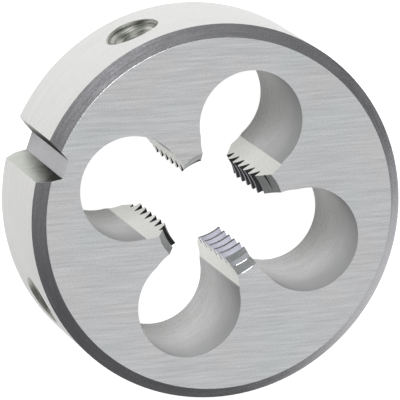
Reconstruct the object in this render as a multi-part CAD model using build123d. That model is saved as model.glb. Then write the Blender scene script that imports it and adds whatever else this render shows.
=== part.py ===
from build123d import *
import os
from math import radians, tan

# Round threading die for a right-hand M12 x 1.75 screw, closed and pre-slotted, in millimetres.
# It is one piece of hardened steel. It lies on its rear face with the lead-in face up,
# the thread axis is +Z, and the adjusting notch faces -Y.

# blank
outer_diameter = 38.0
thickness = 14.0
rim_bevel = 1.2

# thread
major_diameter = 12.0
minor_diameter = 10.106
pitch = 1.75
flank_angle = 30.0        # of each flank, from a plane square to the axis
root_flat = pitch / 8
thread_start = 0.283      # height of a groove's root on the +X side

# lead-in cones, one on each face
lead_in_diameter = 13.0   # where the cone meets the face
lead_in_angle = 30.0      # from the axis
lead_in_relief = 0.5      # sideways shift of the cone behind each cutting edge

# chip holes, each drilled and then bored nearer to the axis, which leaves a land between two holes
land_count = 4
chip_hole_diameter = 10.6
chip_hole_offset = 9.6
land_bore_diameter = 9.44
land_bore_offset = 8.17

# adjusting notch in the rim
notch_floor_width = 1.9
notch_web = 1.85          # metal left between the notch's floor and the chip hole
notch_angle = 60.0        # between its two walls

# conical screw recesses in the rim
recess_diameter = 6.0
recess_angle = 90.0
recess_spacing = 45.0     # from the notch's line
recess_shift = 1.4        # of each recess axis off the centre, away from the notch

# how far a cutter runs past the surface it cuts
overrun = 1.0

outer_radius = outer_diameter / 2
major_radius = major_diameter / 2
minor_radius = minor_diameter / 2
land_step = 360 / land_count


def blank():
    """Turned disc with both rims bevelled; its seam faces -Y, where the notch takes it away."""
    disc = Cylinder(outer_radius, thickness, align=(Align.CENTER, Align.CENTER, Align.MIN))
    rims = disc.edges().filter_by(GeomType.CIRCLE)
    return Rot(0, 0, -90) * chamfer(rims, rim_bevel)


def through_hole(diameter, offset, angle):
    """Axis-parallel hole at a distance from the thread axis."""
    cutter = Cylinder(diameter / 2, thickness + 2 * overrun)
    return Rot(0, 0, angle) * Pos(offset, 0, thickness / 2) * cutter


def chip_holes():
    cutters = []
    for index in range(land_count):
        angle = -90 + index * land_step
        cutters.append(through_hole(chip_hole_diameter, chip_hole_offset, angle))
        cutters.append(through_hole(land_bore_diameter, land_bore_offset, angle))
    return cutters


def land_sector():
    """Wedge of space round the land that lies on +X, as far as the middle of the next holes."""
    reach = outer_radius
    half = land_step / 2
    corner = (reach, reach * tan(radians(half)))
    outline = Polyline((0, 0), (corner[0], -corner[1]), corner, close=True)
    return extrude(make_face(outline), amount=thickness + 2 * overrun)


def lead_in(angle):
    """Cone that opens towards the upper face at one land, shifted so that the land is relieved."""
    face_radius = lead_in_diameter / 2
    rise = tan(radians(lead_in_angle))
    depth = face_radius / rise
    cone = Cone(0, face_radius + overrun * rise, depth + overrun, align=(Align.CENTER, Align.CENTER, Align.MIN))
    cone = Pos(0, -lead_in_relief, thickness - depth) * cone
    return Rot(0, 0, angle) * (cone & land_sector())


def lead_ins():
    cutters = []
    turn_over = Pos(0, 0, thickness) * Rot(180, 0, 0)
    for index in range(land_count):
        front = lead_in(-90 + (index + 0.5) * land_step)
        cutters.append(front)
        cutters.append(turn_over * front)
    return cutters


def groove(start_angle, sweep_angle):
    """Stretch of the thread groove, with its ends in the open holes beside a land."""
    depth = major_radius - minor_radius + overrun
    half_root = root_flat / 2
    half_mouth = half_root + depth * tan(radians(flank_angle))
    profile = Polyline(
        (major_radius, -half_root),
        (major_radius, half_root),
        (major_radius - depth, half_mouth),
        (major_radius - depth, -half_mouth),
        close=True,
    )
    section = Plane.XZ * make_face(profile)
    path = Helix(pitch, pitch * sweep_angle / 360, major_radius)
    stretch = sweep(section, path, is_frenet=True)
    return Rot(0, 0, start_angle) * stretch


def thread_grooves():
    cutters = []
    turns = int(thickness / pitch) + 2
    for index in range(land_count):
        start_angle = index * land_step
        stretch = groove(start_angle, land_step)
        for turn in range(-1, turns):
            height = thread_start + pitch * (start_angle / 360 + turn)
            cutters.append(Pos(0, 0, height) * stretch)
    return cutters


def notch():
    """Adjusting notch across the rim, with a flat floor and walls that flare outward."""
    floor_radius = chip_hole_offset + chip_hole_diameter / 2 + notch_web
    mouth_radius = outer_radius + overrun
    half_floor = notch_floor_width / 2
    half_mouth = half_floor + (mouth_radius - floor_radius) * tan(radians(notch_angle / 2))
    outline = Polyline(
        (-half_floor, -floor_radius),
        (half_floor, -floor_radius),
        (half_mouth, -mouth_radius),
        (-half_mouth, -mouth_radius),
        close=True,
    )
    return Pos(0, 0, -overrun) * extrude(make_face(outline), amount=thickness + 2 * overrun)


def screw_recess(angle, shift):
    """Conical recess at mid height, for the point of a screw in the die stock."""
    rise = tan(radians(recess_angle / 2))
    depth = recess_diameter / 2 / rise
    mouth = recess_diameter / 2 + overrun * rise
    cone = Cone(0, mouth, depth + overrun, align=(Align.CENTER, Align.CENTER, Align.MIN))
    lying = Rot(0, 90, 0) * cone
    return Rot(0, 0, angle) * Pos(outer_radius - depth, shift, thickness / 2) * lying


def screw_recesses():
    cutters = []
    for side in (-1, 1):
        near = -90 + side * recess_spacing
        far = -90 + side * (180 - recess_spacing)
        cutters.append(screw_recess(near, side * recess_shift))
        cutters.append(screw_recess(far, -side * recess_shift))
    return cutters


def threading_die():
    die = blank()
    die -= Pos(0, 0, thickness / 2) * Cylinder(minor_radius, thickness + 2 * overrun)
    die -= chip_holes()
    die -= lead_ins()
    die -= [notch()] + screw_recesses()
    die -= thread_grooves()
    return die


os.makedirs("parts", exist_ok=True)
export_step(threading_die(), "parts/threading_die.step")
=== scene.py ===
import math

import bmesh
import bpy
from mathutils import Matrix, Vector


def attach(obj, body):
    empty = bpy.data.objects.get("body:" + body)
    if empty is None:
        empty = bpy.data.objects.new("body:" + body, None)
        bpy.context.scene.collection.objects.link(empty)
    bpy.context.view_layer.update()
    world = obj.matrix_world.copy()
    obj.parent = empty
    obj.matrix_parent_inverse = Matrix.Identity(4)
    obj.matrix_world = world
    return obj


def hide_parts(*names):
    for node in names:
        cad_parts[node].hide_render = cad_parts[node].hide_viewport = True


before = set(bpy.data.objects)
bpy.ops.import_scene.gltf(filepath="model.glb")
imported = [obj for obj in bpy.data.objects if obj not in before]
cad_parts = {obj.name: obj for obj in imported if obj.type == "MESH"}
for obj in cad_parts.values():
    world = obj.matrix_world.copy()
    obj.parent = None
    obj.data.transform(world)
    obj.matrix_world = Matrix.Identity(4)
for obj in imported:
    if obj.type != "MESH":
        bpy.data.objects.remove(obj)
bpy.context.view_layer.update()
mm = 0.001  # the scene is in metres, and lengths in the dictionaries are in millimetres
colourA, colourB, colourResult = 6, 7, 2  # a Mix node's colour sockets, which share their names with its others
print("frame loaded")


def fromHex(code):  # sRGB hex to linear RGBA
    values = [int(code[i:i + 2], 16) / 255 for i in (1, 3, 5)]
    return [v / 12.92 if v <= 0.04045 else ((v + 0.055) / 1.055) ** 2.4 for v in values] + [1.0]


def addNode(tree, kind, sockets=None, **settings):  # one node, its settings, and its sockets' values or links
    node = tree.nodes.new(kind)
    for name, value in settings.items():
        setattr(node, name, value)
    for name, value in (sockets or {}).items():
        if isinstance(value, bpy.types.NodeSocket):
            tree.links.new(value, node.inputs[name])
        else:
            node.inputs[name].default_value = value
    return node


def newMaterial(name):  # an empty material and its node tree
    material = bpy.data.materials.new(name)
    material.use_nodes = True
    material.node_tree.nodes.clear()
    return material, material.node_tree


def direction(azimuth, elevation):  # unit vector towards a place on the sky, in degrees
    a, e = math.radians(azimuth), math.radians(elevation)
    return Vector((math.cos(a) * math.cos(e), math.sin(a) * math.cos(e), math.sin(e)))


# camera
cameraSettings = {
    "azimuth": -109.848,
    "elevation": 68.927,
    "roll": 127.248,
    "distance": 536.62,
    "target": (0.093, 0.014, 7.017),
    "lens": 482.56,
    "sensor": 36.0,
}


def makeCamera(settings):
    back = direction(settings["azimuth"], settings["elevation"])
    level = Vector((0, 0, 1)).cross(back).normalized()
    upright = back.cross(level)
    roll = math.radians(settings["roll"])
    right = level * math.cos(roll) + upright * math.sin(roll)
    up = back.cross(right)
    place = (Vector(settings["target"]) + back * settings["distance"]) * mm
    data = bpy.data.cameras.new("productCamera")
    data.lens = settings["lens"]
    data.sensor_width = settings["sensor"]
    camera = bpy.data.objects.new("productCamera", data)
    camera.matrix_world = Matrix.Translation(place) @ Matrix((right, up, back)).transposed().to_4x4()
    bpy.context.scene.collection.objects.link(camera)
    bpy.context.scene.camera = camera


makeCamera(cameraSettings)
print("camera placed")

# studio: a sheet of white paper in a dim room, under a bright ceiling, with one large softbox high on one side
floorSettings = {
    "paper": "#b0b0b0",
    "radius": 51.6,
    "centre": (-9.5, 7.3),
    "edge": 3,  # width over which the sheet fades into the white backdrop
    "corners": 96,
    "steelGlow": 0.7,  # light from the paper that the steel sees on top of what falls on it
    "cameraGlow": 0.91,  # the same for the camera, which sees a white table with a faint shadow
}


def makeFloor(settings):
    radius, corners = settings["radius"] * mm, settings["corners"]
    x, y = (part * mm for part in settings["centre"])
    turns = [2 * math.pi * i / corners for i in range(corners)]
    mesh = bpy.data.meshes.new("studioFloor")
    ring = [(x + radius * math.cos(turn), y + radius * math.sin(turn), 0) for turn in turns]
    mesh.from_pydata(ring, [], [list(range(corners))])
    floor = bpy.data.objects.new("studioFloor", mesh)
    bpy.context.scene.collection.objects.link(floor)
    material, tree = newMaterial("matt white paper")
    place = addNode(tree, "ShaderNodeTexCoord")
    reach = addNode(tree, "ShaderNodeVectorMath", {
        0: place.outputs["Object"], 1: (x, y, 0),
    }, operation="DISTANCE").outputs["Value"]
    away = addNode(tree, "ShaderNodeMapRange", {
        "Value": reach, "From Min": radius - settings["edge"] * mm, "From Max": radius,
    }, interpolation_type="SMOOTHSTEP").outputs["Result"]
    path = addNode(tree, "ShaderNodeLightPath")
    mirrored = addNode(tree, "ShaderNodeMath", {
        0: path.outputs["Is Glossy Ray"], 1: path.outputs["Is Transmission Ray"],
    }, operation="MAXIMUM").outputs[0]
    forSteel = addNode(tree, "ShaderNodeMath", {
        0: mirrored, 1: settings["steelGlow"],
    }, operation="MULTIPLY").outputs[0]
    forCamera = addNode(tree, "ShaderNodeMath", {
        0: path.outputs["Is Camera Ray"], 1: settings["cameraGlow"],
    }, operation="MULTIPLY").outputs[0]
    level = addNode(tree, "ShaderNodeMath", {0: forSteel, 1: forCamera}, operation="ADD").outputs[0]
    paint = addNode(tree, "ShaderNodeBsdfDiffuse", {"Color": fromHex(settings["paper"])})
    glow = addNode(tree, "ShaderNodeEmission", {"Strength": level})
    sheet = addNode(tree, "ShaderNodeAddShader", {0: paint.outputs[0], 1: glow.outputs[0]})
    beyond = addNode(tree, "ShaderNodeBsdfTransparent")
    both = addNode(tree, "ShaderNodeMixShader", {0: away, 1: sheet.outputs[0], 2: beyond.outputs[0]})
    addNode(tree, "ShaderNodeOutputMaterial", {"Surface": both.outputs[0]})
    mesh.materials.append(material)


roomSettings = {
    "ceiling": "#fafafa",
    "ceilingByKey": "#b4b4b4",  # above the softbox, where its cloth hides the ceiling
    "ceilingFrom": 0.42, "ceilingTo": 0.86,  # sine of the height at which the wall turns into the ceiling
    "darkWall": "#6d6d6f",
    "lightWall": "#a4a4a4",
    "lightSide": (218, 20),  # azimuth and elevation of the lightest part of the wall
    "darkFrom": -0.4,  # cosine of the angle from there at which the wall is darkest
    "backdrop": "#ffffff",
    "strength": 1.0,
}


def makeRoom(settings):
    world = bpy.data.worlds.new("studioRoom")
    bpy.context.scene.world = world
    world.use_nodes = True
    tree = world.node_tree
    tree.nodes.clear()
    ray = addNode(tree, "ShaderNodeTexCoord").outputs["Generated"]
    along = addNode(tree, "ShaderNodeVectorMath", {
        0: ray, 1: direction(*settings["lightSide"]),
    }, operation="DOT_PRODUCT").outputs["Value"]
    side = addNode(tree, "ShaderNodeMapRange", {
        "Value": along, "From Min": settings["darkFrom"],
    }).outputs["Result"]
    wall = addNode(tree, "ShaderNodeMix", {
        0: side, colourA: fromHex(settings["darkWall"]), colourB: fromHex(settings["lightWall"]),
    }, data_type="RGBA").outputs[colourResult]
    height = addNode(tree, "ShaderNodeSeparateXYZ", {0: ray}).outputs["Z"]
    rise = addNode(tree, "ShaderNodeMapRange", {
        "Value": height, "From Min": settings["ceilingFrom"], "From Max": settings["ceilingTo"],
    }, interpolation_type="SMOOTHSTEP").outputs["Result"]
    ceiling = addNode(tree, "ShaderNodeMix", {
        0: side, colourA: fromHex(settings["ceiling"]), colourB: fromHex(settings["ceilingByKey"]),
    }, data_type="RGBA").outputs[colourResult]
    room = addNode(tree, "ShaderNodeMix", {
        0: rise, colourA: wall, colourB: ceiling,
    }, data_type="RGBA").outputs[colourResult]
    path = addNode(tree, "ShaderNodeLightPath")
    colour = addNode(tree, "ShaderNodeMix", {
        0: path.outputs["Is Camera Ray"], colourA: room, colourB: fromHex(settings["backdrop"]),
    }, data_type="RGBA").outputs[colourResult]
    sky = addNode(tree, "ShaderNodeBackground", {"Color": colour, "Strength": settings["strength"]})
    addNode(tree, "ShaderNodeOutputWorld", {"Surface": sky.outputs[0]})


softboxSettings = {
    "azimuth": 224, "elevation": 46, "distance": 700,
    "width": 460, "height": 260,
    "watts": 5.2,
    "tint": "#fbfbff",
}


def makeSoftbox(settings):
    data = bpy.data.lights.new("keySoftbox", "AREA")
    data.shape = "RECTANGLE"
    data.size = settings["width"] * mm
    data.size_y = settings["height"] * mm
    data.energy = settings["watts"]
    data.color = fromHex(settings["tint"])[:3]
    lamp = bpy.data.objects.new("keySoftbox", data)
    back = direction(settings["azimuth"], settings["elevation"])
    lamp.location = back * settings["distance"] * mm
    lamp.rotation_mode = "QUATERNION"
    lamp.rotation_quaternion = back.to_track_quat("Z", "Y")
    bpy.context.scene.collection.objects.link(lamp)


makeFloor(floorSettings)
makeRoom(roomSettings)
makeSoftbox(softboxSettings)
bpy.context.scene.view_settings.view_transform = "Standard"
print("studio set")

# steel finishes: the grit marks called grain are 0.01 to 0.03 mm wide on real steel, and all are drawn coarser to show

# ground steel: an even satin grey, streaked by fine straight lines that make its reflections soft along them
faceSettings = {
    "light": "#f0f1f2", "dark": "#b0b1b2", "cool": "#c3c9cb", "warm": "#cbc7c8",
    "metallic": 1.0,
    "roughnessLow": 0.29, "roughnessHigh": 0.40,
    "grindAngle": 110,  # degrees from +X, the way the grinding wheel ran
    "lineSpacing": 0.32, "lineLength": 7.0,  # real lines are 0.02 to 0.05 mm apart, too fine to show
    "fineSpacing": 0.13, "fineLength": 3.0, "fineShare": 0.4,
    "mottle": 7.0,
    "grain": 0.14, "grainShare": 0.3,
    "relief": 0.004,
}

# cylindrically ground steel: pale satin that stays bright all round, with faint rings
rimSettings = {
    "light": "#d5d4d0", "dark": "#bebebc",
    "metallic": 0.45,  # ground matt, it scatters much of its light
    "roughnessLow": 0.29, "roughnessHigh": 0.38,
    "lineSpacing": 0.25, "lineLength": 9.0,  # rings of the cylindrical grinder, drawn about 6 times coarser
    "mottle": 5.0,
    "grain": 0.14, "grainShare": 0.5,
    "relief": 0.003,
}

# turned and hardened steel: smoother and darker than the face, so it shows the dark and light parts of the room
bevelSettings = {
    "light": "#cccccf", "dark": "#b0b0b3",
    "metallic": 1.0,
    "roughnessLow": 0.17, "roughnessHigh": 0.265,
    "lineSpacing": 0.2, "lineLength": 4.0,  # rings of the lathe tool, drawn about 3 times coarser
    "mottle": 2.0,
    "grain": 0.15, "grainShare": 0.5,
    "relief": 0.003,
}

# drilled steel, hardened and not ground after: dull grey with faint rings, and painted shade that makes it darker
# towards the mouth
wallSettings = {
    "light": "#dadad8", "dark": "#b8b8b6",
    "metallic": 0.15,  # the skin that hardening leaves scatters nearly all of its light
    # painted shade: a darker grey laid on the walls near the front face, broken into patches
    "paintedShade": "#959595",
    "paintedShadeSlope": (0, 0, -0.083),  # per millimetre: the painted shade on the walls clears downwards from the front face
    "paintedShadeShift": (0, 0, 0),
    "paintedShadeStart": 1.05,
    "paintedShadeRoughness": 0.5,
    "paintedShadePatches": 0.4,
    "roughnessLow": 0.38, "roughnessHigh": 0.5,
    "lineSpacing": 0.32, "lineLength": 3.0,  # rings of the drill, drawn about twice as coarse
    "mottle": 4.0,
    "grain": 0.2, "grainShare": 0.5,
    "relief": 0.003,
}

# ground cutting face: the palest and most even steel of the die, which makes the teeth stand out
landSettings = {
    "light": "#ecede7", "dark": "#d8d9d2",
    "metallic": 0.65,  # ground matt
    "roughnessLow": 0.29, "roughnessHigh": 0.36,
    "lineSpacing": 0.3, "lineLength": 4.0,  # lines of a small grinding wheel, drawn about 8 times coarser
    "mottle": 3.0,
    "grain": 0.2, "grainShare": 0.6,
    "relief": 0.001,
}

# cut thread, hardened and oiled: nearly black, but a flank that faces the softbox turns pale violet grey
threadSettings = {
    "light": "#545459", "dark": "#424246",
    "metallic": 1.0,
    "roughnessLow": 0.29, "roughnessHigh": 0.36,
    "lineSpacing": 0.25, "lineLength": 2.0,  # marks of the thread cutter, drawn about 5 times coarser
    "mottle": 1.2,
    "grain": 0.15, "grainShare": 0.4,
    "relief": 0.004,
}

# relieved lead-in: half-dull grey between the dark thread and the bright face
coneSettings = {
    "light": "#b8bbb9", "dark": "#929694",
    "metallic": 0.6,  # left half dull by the relieving tool
    "roughnessLow": 0.3, "roughnessHigh": 0.4,
    "lineSpacing": 0.3, "lineLength": 2.0,  # marks of the relieving tool, drawn about 5 times coarser
    "mottle": 1.5,
    "grain": 0.15, "grainShare": 0.5,
    "relief": 0.004,
}

# milled steel: flat mid grey without clear lines
notchSettings = {
    "light": "#b0b0b2", "dark": "#969698",
    "metallic": 0.6,  # left half dull by the milling cutter
    "roughnessLow": 0.3, "roughnessHigh": 0.45,
    "lineSpacing": 0.3, "lineLength": 4.0,  # marks of the milling cutter, drawn about 4 times coarser
    "mottle": 2.0,
    "grain": 0.15, "grainShare": 0.6,
    "relief": 0.003,
}

# milled and hardened steel: painted shade, near black, in the corner of the notch, which clears in patches to pale grey
# outside
notchSideSettings = {
    "light": "#c6c8c0", "dark": "#b0b2aa",
    "metallic": 0.5,  # half covered by the skin that hardening leaves
    # painted shade: a near-black colour laid into the corner of the notch and more on the side at -X
    "paintedShade": "#22221d",
    "paintedShadeSlope": (0.4, 0.178, -0.071),  # per millimetre: the painted shade on both sides clears away from the middle, outwards, downwards
    "paintedShadeShift": (0.6, 0, 0),  # the side at -X keeps more of the painted shade
    "paintedShadeStart": -3.07,
    "paintedShadeRoughness": 0.9,
    "paintedShadePatches": 0.4,
    "roughnessLow": 0.42, "roughnessHigh": 0.56,
    "lineSpacing": 0.3, "lineLength": 4.0,  # marks of the milling cutter, drawn about 4 times coarser
    "mottle": 1.4,
    "grain": 0.2, "grainShare": 0.5,
    "relief": 0.004,
}

# countersunk steel: broad dark and light rings of the drill, with a wet-looking gloss
recessSettings = {
    "light": "#c8cac1", "dark": "#4a4c45",
    "metallic": 1.0,
    "roughnessLow": 0.29, "roughnessHigh": 0.4,
    "ringStart": 1.3, "ringDrift": 0.06,  # where the rings begin, and how far they stray from true circles
    "lineSpacing": 0.17,  # rings of the countersink, drawn about twice as coarse
    "mottle": 1.5,
    "grain": 0.15, "grainShare": 0.15,
    "relief": 0.014,
}

# first groove of the thread: as dark as the thread, but greyer, since the cutter only grazed it
grooveSettings = {
    "light": "#474849", "dark": "#3b3c3d",
    "metallic": 1.0,
    "roughnessLow": 0.3, "roughnessHigh": 0.4,
    "lineSpacing": 0.25, "lineLength": 2.0,  # marks of the thread cutter, drawn about 5 times coarser
    "mottle": 1.2,
    "grain": 0.15, "grainShare": 0.4,
    "relief": 0.003,
}

# deburred edge: a hair-thin line that glints white where it faces the softbox
edgeSettings = {
    "light": "#d6d6d4", "dark": "#c2c2c0",
    "metallic": 1.0,
    "roughnessLow": 0.3, "roughnessHigh": 0.4,
    "lineSpacing": 0.3, "lineLength": 1.0,  # scratches of the deburring brush, drawn about 10 times coarser
    "mottle": 1.5,
    "grain": 0.15, "grainShare": 0.5,
    "relief": 0.002,
}

# how every finish turns its patterns, which are noise from 0 to 1, into colour and gloss
patternSettings = {
    "darkBelow": 0.32, "lightAbove": 0.68,
    "coolBelow": 0.35, "warmAbove": 0.65, "tintShare": 0.35,
    "glossyBelow": 0.4, "dullAbove": 1.6,  # of line pattern and mottle added up
}


def perMetre(size):  # texture scale that repeats at about this many millimetres
    return 1 / (size * mm)


def lines(tree, place, scale, turn=0.0, detail=3.0):  # noise drawn out along a cutter's path
    across = addNode(tree, "ShaderNodeMapping", {
        "Vector": place, "Rotation": (0, 0, math.radians(-turn)),
    }).outputs[0]
    stretched = addNode(tree, "ShaderNodeVectorMath", {0: across, 1: scale}, operation="MULTIPLY").outputs[0]
    return addNode(tree, "ShaderNodeTexNoise", {
        "Vector": stretched, "Scale": 1.0, "Detail": detail, "Roughness": 0.6,
    }).outputs["Fac"]


def straightLines(tree, place, settings):  # surface grinder: long lines side by side, and finer ones between
    broad = lines(tree, place, (
        perMetre(settings["lineLength"]), perMetre(settings["lineSpacing"]), 0,
    ), settings["grindAngle"])
    fine = lines(tree, place, (
        perMetre(settings["fineLength"]), perMetre(settings["fineSpacing"]), 0,
    ), settings["grindAngle"])
    return addNode(tree, "ShaderNodeMix", {"Factor": settings["fineShare"], "A": broad, "B": fine}).outputs["Result"]


def ringLines(tree, place, settings):  # lathe, cylindrical grinder or drill: lines round the axis, told apart by height
    along, across = perMetre(settings["lineLength"]), perMetre(settings["lineSpacing"])
    return lines(tree, place, (along, along, across))


def drillRings(tree, place, settings):  # a countersink's rings, told apart by how deep they lie under the rim
    quarter = addNode(tree, "ShaderNodeVectorMath", {0: place}, operation="ABSOLUTE").outputs[0]
    depth = addNode(tree, "ShaderNodeVectorMath", {
        0: quarter, 1: (math.sqrt(0.5), math.sqrt(0.5), 0),
    }, operation="DOT_PRODUCT").outputs["Value"]
    shifted = addNode(tree, "ShaderNodeMath", {0: depth, 1: settings["ringStart"] * mm}, operation="ADD").outputs[0]
    stacked = addNode(tree, "ShaderNodeCombineXYZ", {"Z": shifted}).outputs[0]
    drift = addNode(tree, "ShaderNodeVectorMath", {
        0: place, 1: [settings["ringDrift"]] * 3,
    }, operation="MULTIPLY").outputs[0]
    both = addNode(tree, "ShaderNodeVectorMath", {0: stacked, 1: drift}, operation="ADD").outputs[0]
    return lines(tree, both, [perMetre(settings["lineSpacing"])] * 3, detail=1.5)


def paintedShadeClears(tree, place, patches, settings):  # 0 where the painted shade is whole, 1 where it is gone
    shifted = addNode(tree, "ShaderNodeVectorMath", {
        0: place, 1: Vector(settings["paintedShadeShift"]) * mm,
    }, operation="ADD").outputs[0]
    bothSides = addNode(tree, "ShaderNodeVectorMath", {0: shifted}, operation="ABSOLUTE").outputs[0]
    slope = addNode(tree, "ShaderNodeVectorMath", {
        0: bothSides, 1: Vector(settings["paintedShadeSlope"]) / mm,
    }, operation="DOT_PRODUCT").outputs["Value"]
    patchy = addNode(tree, "ShaderNodeMath", {
        0: patches, 1: settings["paintedShadePatches"], 2: slope,
    }, operation="MULTIPLY_ADD").outputs[0]
    return addNode(tree, "ShaderNodeMapRange", {
        "Value": patchy, "From Min": -settings["paintedShadeStart"], "From Max": 1 - settings["paintedShadeStart"],
    }, interpolation_type="SMOOTHSTEP").outputs["Result"]


def steel(name, settings, linePattern):  # colour, gloss and relief from one line pattern
    material, tree = newMaterial(name)
    place = addNode(tree, "ShaderNodeTexCoord").outputs["Object"]
    marks = linePattern(tree, place, settings)
    grain = addNode(tree, "ShaderNodeTexNoise", {
        "Vector": place, "Scale": perMetre(settings["grain"]), "Detail": 1.0,
    }).outputs["Fac"]
    surface = addNode(tree, "ShaderNodeMix", {
        "Factor": settings["grainShare"], "A": marks, "B": grain,
    }).outputs["Result"]
    contrast = addNode(tree, "ShaderNodeMapRange", {
        "Value": surface, "From Min": patternSettings["darkBelow"], "From Max": patternSettings["lightAbove"],
    }).outputs["Result"]
    colour = addNode(tree, "ShaderNodeMix", {
        0: contrast, colourA: fromHex(settings["dark"]), colourB: fromHex(settings["light"]),
    }, data_type="RGBA").outputs[colourResult]
    patches = addNode(tree, "ShaderNodeTexNoise", {
        "Vector": place, "Scale": perMetre(settings["mottle"]), "Detail": 2.0,
    }).outputs["Fac"]
    uneven = addNode(tree, "ShaderNodeMath", {0: contrast, 1: patches}, operation="ADD").outputs[0]
    gloss = addNode(tree, "ShaderNodeMapRange", {
        "Value": uneven, "From Min": patternSettings["glossyBelow"], "From Max": patternSettings["dullAbove"],
        "To Min": settings["roughnessLow"], "To Max": settings["roughnessHigh"],
    }).outputs["Result"]
    # painted shade: a colour and roughness laid on by place, darker towards the mouth of the holes and in the corner of
    # the notch
    if "paintedShade" in settings:
        clear = paintedShadeClears(tree, place, patches, settings)
        colour = addNode(tree, "ShaderNodeMix", {
            0: clear, colourA: fromHex(settings["paintedShade"]), colourB: colour,
        }, data_type="RGBA").outputs[colourResult]
        gloss = addNode(tree, "ShaderNodeMix", {
            "Factor": clear, "A": settings["paintedShadeRoughness"], "B": gloss,
        }).outputs["Result"]
    if "cool" in settings:
        tint = addNode(tree, "ShaderNodeMapRange", {
            "Value": patches, "From Min": patternSettings["coolBelow"], "From Max": patternSettings["warmAbove"],
        }).outputs["Result"]
        tinted = addNode(tree, "ShaderNodeMix", {
            0: tint, colourA: fromHex(settings["cool"]), colourB: fromHex(settings["warm"]),
        }, data_type="RGBA").outputs[colourResult]
        colour = addNode(tree, "ShaderNodeMix", {
            0: patternSettings["tintShare"], colourA: colour, colourB: tinted,
        }, data_type="RGBA").outputs[colourResult]
    relief = addNode(tree, "ShaderNodeBump", {
        "Height": marks, "Strength": 1.0, "Distance": settings["relief"] * mm,
    }).outputs["Normal"]
    shader = addNode(tree, "ShaderNodeBsdfPrincipled", {
        "Base Color": colour, "Metallic": settings["metallic"], "Roughness": gloss, "Normal": relief,
    })
    addNode(tree, "ShaderNodeOutputMaterial", {"Surface": shader.outputs[0]})
    return material


# die
dieSettings = {
    "rim": 19.0, "thickness": 14.0, "rimBevel": 1.2,
    "holeOffset": 9.6, "holeRadius": 5.3,
    "landBoreOffset": 8.17,
    "majorRadius": 6.0, "minorRadius": 5.053, "pitch": 1.75, "flankAngle": 30,
    "leadInAngle": 30, "leadInRelief": 0.5,
    "recessShift": 1.4,
    "firstGroove": 1.9,  # depth under a face where the thread has only begun
    "boreReach": 6.9,  # the thread and its lead-in cones lie inside this radius
    "cornerAngle": 22,  # edges sharper than this are deburred or rounded
    "edgeWidth": 0.027, "edgeSegments": 2,  # deburred edges
    "lipWidth": 0.06, "faceLipSegments": 3, "grooveLipSegments": 2,  # rounded lips of a lead-in cone
    "burrHeight": 0.035,  # burr that the thread cutter threw up on the cone
    "weldDistance": 0.001,
    "flatAngle": 0.5,  # facets that meet flatter than this become one
    "normalLimit": 0.96,  # cosine of the most that a corner's normal may lean from its facet's
}

# what tells the machined surfaces apart, in millimetres or as parts of a unit normal
surfaceLimits = {
    "faceFlat": 0.999, "faceDepth": 0.01,
    "bevelOut": 0.6, "bevelSlack": 0.03,
    "rimDepth": 0.2, "rimOut": 0.99, "rimFlat": 0.02,
    "webDepth": 0.2,  # beyond the chip holes by this much lie only the recesses and the notch
    "notchReach": 3, "notchFloorIn": 0.9,
    "slantedFrom": 0.3, "slantedTo": 0.7,  # a lead-in cone lies between these, and thread flanks are flatter
    "wallFrom": 7.5, "onCylinder": 0.05,
    "crestIn": 0.97,
}


def holeAngle(x, y):  # direction from the axis to the nearest chip hole
    return round(math.atan2(y, x) / (math.pi / 2)) * math.pi / 2


def landAngle(x, y):  # direction from the axis to the land or recess in the same quarter
    return math.pi / 4 + math.pi / 2 * math.floor(math.atan2(y, x) / (math.pi / 2))


def finishOf(centre, normal, settings, limits):  # which finish a facet has, from where it lies on the die
    x, y, z = centre / mm
    radius = math.hypot(x, y)
    flat = abs(normal.z)
    fromFace = min(z, settings["thickness"] - z)
    if flat > limits["faceFlat"] and fromFace < limits["faceDepth"]:
        return "face"
    outward = (normal.x * x + normal.y * y) / radius  # only a face has facets centred on the axis
    atHalfRight = abs(flat - math.sqrt(0.5)) < limits["bevelSlack"]  # 45 degrees
    if outward > limits["bevelOut"] and fromFace < settings["rimBevel"] and atHalfRight:
        return "bevel"
    atRim = radius > settings["rim"] - limits["rimDepth"]
    if atRim and outward > limits["rimOut"] and flat < limits["rimFlat"]:
        return "rim"
    if radius > settings["holeOffset"] + settings["holeRadius"] + limits["webDepth"]:
        if abs(x) > limits["notchReach"] or y > 0:
            return "recess"
        return "notch" if normal.y < -limits["notchFloorIn"] else "notchSide"
    if flat > limits["slantedFrom"]:
        if flat < limits["slantedTo"]:
            return "cone"
        return "groove" if fromFace < settings["firstGroove"] else "thread"
    hole = holeAngle(x, y)
    fromHole = math.hypot(x - settings["holeOffset"] * math.cos(hole), y - settings["holeOffset"] * math.sin(hole))
    if radius > limits["wallFrom"] and abs(fromHole - settings["holeRadius"]) < limits["onCylinder"]:
        return "wall"
    fromThread = min(abs(radius - settings["majorRadius"]), abs(radius - settings["minorRadius"]))
    return "thread" if fromThread < limits["onCylinder"] and outward < -limits["crestIn"] else "land"


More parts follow.
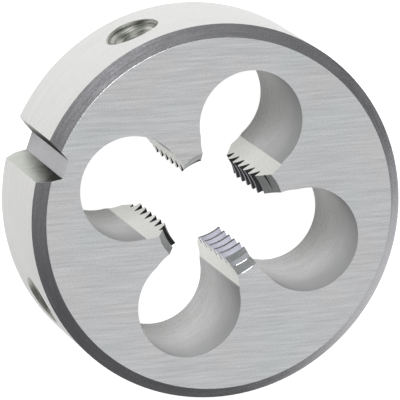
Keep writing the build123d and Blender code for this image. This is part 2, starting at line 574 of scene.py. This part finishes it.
def trueNormal(finish, place, facetNormal, settings, limits):  # the machined surface's own normal at a facet's corner
    x, y, z = place / mm
    out = Vector((x, y, 0)).normalized()
    around = Vector((-out.y, out.x, 0))
    side = Vector((0, 0, math.copysign(1, facetNormal.z)))
    if finish == "rim":
        return out
    if finish == "bevel":
        return (out + side).normalized()
    if finish in ("wall", "land"):
        hole = holeAngle(x, y)
        reach = settings["holeOffset"] if finish == "wall" else settings["landBoreOffset"]
        return Vector((reach * math.cos(hole) - x, reach * math.sin(hole) - y, 0)).normalized()
    if finish == "recess":
        quarter = landAngle(x, y)
        axis = Vector((math.cos(quarter), math.sin(quarter), 0))
        across = Vector((-axis.y, axis.x, 0))
        shift = settings["recessShift"] * (-1 if x * y > 0 else 1)
        spoke = across * (across.dot((x, y, 0)) - shift) + Vector((0, 0, z - settings["thickness"] / 2))
        return (axis - spoke.normalized()).normalized()
    if finish == "cone":
        land, slope = landAngle(x, y), math.radians(settings["leadInAngle"])
        relief = settings["leadInRelief"]
        spoke = Vector((x - relief * math.sin(land), y + relief * math.cos(land), 0))
        return (side * math.sin(slope) - spoke.normalized() * math.cos(slope)).normalized()
    if finish in ("thread", "groove") and abs(facetNormal.z) > limits["slantedFrom"]:
        lead = settings["pitch"] / (2 * math.pi * math.hypot(x, y))
        return (side - out * math.tan(math.radians(settings["flankAngle"])) - around * lead * side.z).normalized()
    if finish == "thread":
        return -out
    return facetNormal


def roundLips(shape, names, pair, settings):  # round off the corners where a lead-in cone ends
    middle = settings["thickness"] / 2 * mm
    edges = []
    for edge in shape.edges:
        if not edge.is_convex or edge.calc_face_angle(0) < math.radians(settings["cornerAngle"]):
            continue
        if {names[facet.material_index] for facet in edge.link_faces} != pair:
            continue
        if {names[facet.material_index] for corner in edge.verts for facet in corner.link_faces} - pair:
            continue
        if "groove" in pair:  # only the lip whose flank looks towards the middle of the die
            flank = [facet for facet in edge.link_faces if names[facet.material_index] == "groove"][0]
            if flank.normal.z * (edge.verts[0].co.z - middle) > 0:
                continue
        edges.append(edge)
    segments = settings["grooveLipSegments"] if "groove" in pair else settings["faceLipSegments"]
    rounded = bmesh.ops.bevel(
        shape, geom=edges, offset=settings["lipWidth"] * mm, segments=segments, profile=0.5, affect="EDGES",
        clamp_overlap=False, material=names.index("edge"))
    print(len(edges), "lip edges of", sorted(pair))
    if "groove" in pair:  # raise the middle of the lip into a burr, square to the cone
        slope = math.radians(settings["leadInAngle"])
        faces = set(rounded["faces"])
        for corner in rounded["verts"]:
            if all(facet in faces for facet in corner.link_faces):
                side = Vector((0, 0, 1 if corner.co.z > middle else -1))
                out = Vector((corner.co.x, corner.co.y, 0)).normalized()
                corner.co += (side * math.sin(slope) - out * math.cos(slope)) * settings["burrHeight"] * mm


def makeDie(node, settings):
    finishes = {
        "face": steel("ground steel face", faceSettings, straightLines),
        "rim": steel("cylindrically ground steel rim", rimSettings, ringLines),
        "bevel": steel("turned and hardened steel bevel", bevelSettings, ringLines),
        "wall": steel("drilled and hardened steel hole", wallSettings, ringLines),
        "land": steel("ground steel cutting face", landSettings, ringLines),
        "thread": steel("cut steel thread", threadSettings, ringLines),
        "cone": steel("relieved steel lead-in", coneSettings, ringLines),
        "notch": steel("milled steel notch", notchSettings, ringLines),
        "notchSide": steel("milled and hardened steel notch side", notchSideSettings, ringLines),
        "recess": steel("countersunk steel recess", recessSettings, drillRings),
        "groove": steel("oiled first groove of the thread", grooveSettings, ringLines),
        "edge": steel("deburred steel edge", edgeSettings, ringLines),
    }
    names = list(finishes)
    mesh = bpy.data.meshes.new("dieBody")
    for material in finishes.values():
        mesh.materials.append(material)
    shape = bmesh.new()
    shape.from_mesh(node.data)
    weld = settings["weldDistance"] * mm
    bmesh.ops.remove_doubles(shape, verts=shape.verts, dist=weld)
    bmesh.ops.dissolve_degenerate(shape, edges=shape.edges, dist=weld)
    bmesh.ops.dissolve_limit(
        shape, angle_limit=math.radians(settings["flatAngle"]), verts=shape.verts, edges=shape.edges)
    for facet in shape.faces:
        facet.smooth = True
        finish = finishOf(facet.calc_center_median(), facet.normal, settings, surfaceLimits)
        facet.material_index = names.index(finish)
    print(len(shape.faces), "facets given a finish")
    sharpFrom = math.radians(settings["cornerAngle"])
    sharp = [edge for edge in shape.edges if edge.is_convex and edge.calc_face_angle(0) > sharpFrom]
    inner = settings["boreReach"] * mm
    outer = [edge for edge in sharp if min(end.co.xy.length for end in edge.verts) > inner]
    bmesh.ops.bevel(
        shape, geom=outer, offset=settings["edgeWidth"] * mm, segments=settings["edgeSegments"], profile=0.5,
        affect="EDGES", clamp_overlap=True, material=names.index("edge"))
    roundLips(shape, names, {"face", "cone"}, settings)
    roundLips(shape, names, {"groove", "cone"}, settings)
    shape.to_mesh(mesh)
    shape.free()
    die = bpy.data.objects.new("dieBody", mesh)
    bpy.context.scene.collection.objects.link(die)
    print(len(mesh.polygons), "facets after the edges were rounded")
    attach(die, "root")
    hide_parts("threading_die")
    normals = [None] * len(mesh.loops)
    for facet in mesh.polygons:
        for index in facet.loop_indices:
            place = mesh.vertices[mesh.loops[index].vertex_index].co
            normal = trueNormal(names[facet.material_index], place, facet.normal, settings, surfaceLimits)
            leansFar = normal.dot(facet.normal) < settings["normalLimit"]
            normals[index] = facet.normal.copy() if leansFar else normal
    mesh.normals_split_custom_set(normals)


makeDie(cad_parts["threading_die"], dieSettings)
print("die made")
